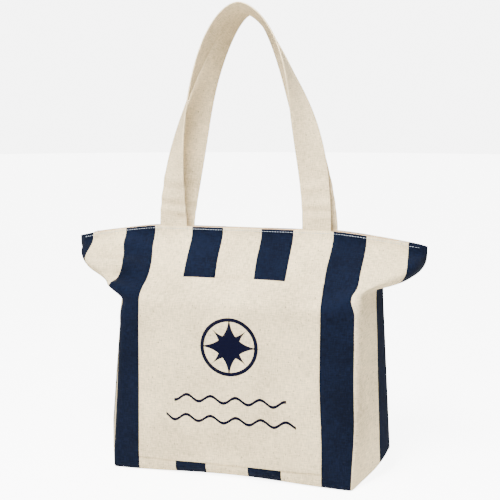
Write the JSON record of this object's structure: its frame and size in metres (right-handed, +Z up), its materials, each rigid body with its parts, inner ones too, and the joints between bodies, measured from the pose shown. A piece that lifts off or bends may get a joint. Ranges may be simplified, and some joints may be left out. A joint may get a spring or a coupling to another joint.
{
  "type": "canvas tote bag",
  "caption": "Boxed tote bag in striped canvas, with a mouth pinched flat along a recessed zip, a slip pocket in front and two strap handles.",
  "frame": {"origin": "middle of the base, where the base seam crosses the bag's centre line", "axes": "+Z up, +X along the mouth to the right of someone who faces the pocket, -Y out of the front"},
  "size_m": [0.508, 0.1588, 0.64],
  "materials": {
    "striped_canvas": "plain weave cotton canvas in wide natural and navy stripes",
    "natural_canvas": "plain weave cotton canvas, undyed",
    "strap_canvas": "folded canvas strap, undyed",
    "woven_tape": "narrow woven cotton tape",
    "thread": "light cotton thread",
    "label": "blank woven label",
    "zip_teeth": "moulded nylon",
    "zip_metal": "dull nickel"
  },
  "bodies": {
    "bag": {"front_canvas": "striped_canvas", "back_canvas": "striped_canvas", "front_facing": "natural_canvas", "back_facing": "natural_canvas", "front_hem_stitching": "thread", "back_hem_stitching": "thread", "front_strap_ends": "strap_canvas", "back_strap_ends": "strap_canvas", "front_zip_tape": "woven_tape", "back_zip_tape": "woven_tape", "front_zip_teeth": "zip_teeth", "back_zip_teeth": "zip_teeth", "right_seam_binding": "woven_tape", "left_seam_binding": "woven_tape", "right_corner_binding": "woven_tape", "left_corner_binding": "woven_tape", "base_seam_binding": "woven_tape", "front_pocket": "natural_canvas", "pocket_stitching": "thread", "care_label": "label", "zip_top_stops": "zip_metal", "zip_bottom_stop": "zip_metal", "right_zip_tab": "natural_canvas", "left_zip_tab": "natural_canvas"},
    "front_handle": {"front_handle": "strap_canvas"},
    "back_handle": {"back_handle": "strap_canvas"},
    "zip_slider": {"zip_slider": "zip_metal"},
    "zip_pull": {"zip_pull": "zip_metal"}
  },
  "joints": [
    {"name": "front_handle_fold", "type": "hinge", "parent": "bag", "child": "front_handle", "pos_m": [0, -0.00665, 0.343], "axis": [1, 0, 0], "range_deg": [0, 115]},
    {"name": "back_handle_fold", "type": "hinge", "parent": "bag", "child": "back_handle", "pos_m": [0, 0.00665, 0.343], "axis": [-1, 0, 0], "range_deg": [0, 115]},
    {"name": "zip_run", "type": "slide", "parent": "bag", "child": "zip_slider", "axis": [1, 0, 0], "range_m": [-0.432, 0]},
    {"name": "pull_flip", "type": "hinge", "parent": "zip_slider", "child": "zip_pull", "pos_m": [0.2145, 0, 0.3214], "axis": [0, 1, 0], "range_deg": [0, 180]}
  ]
}
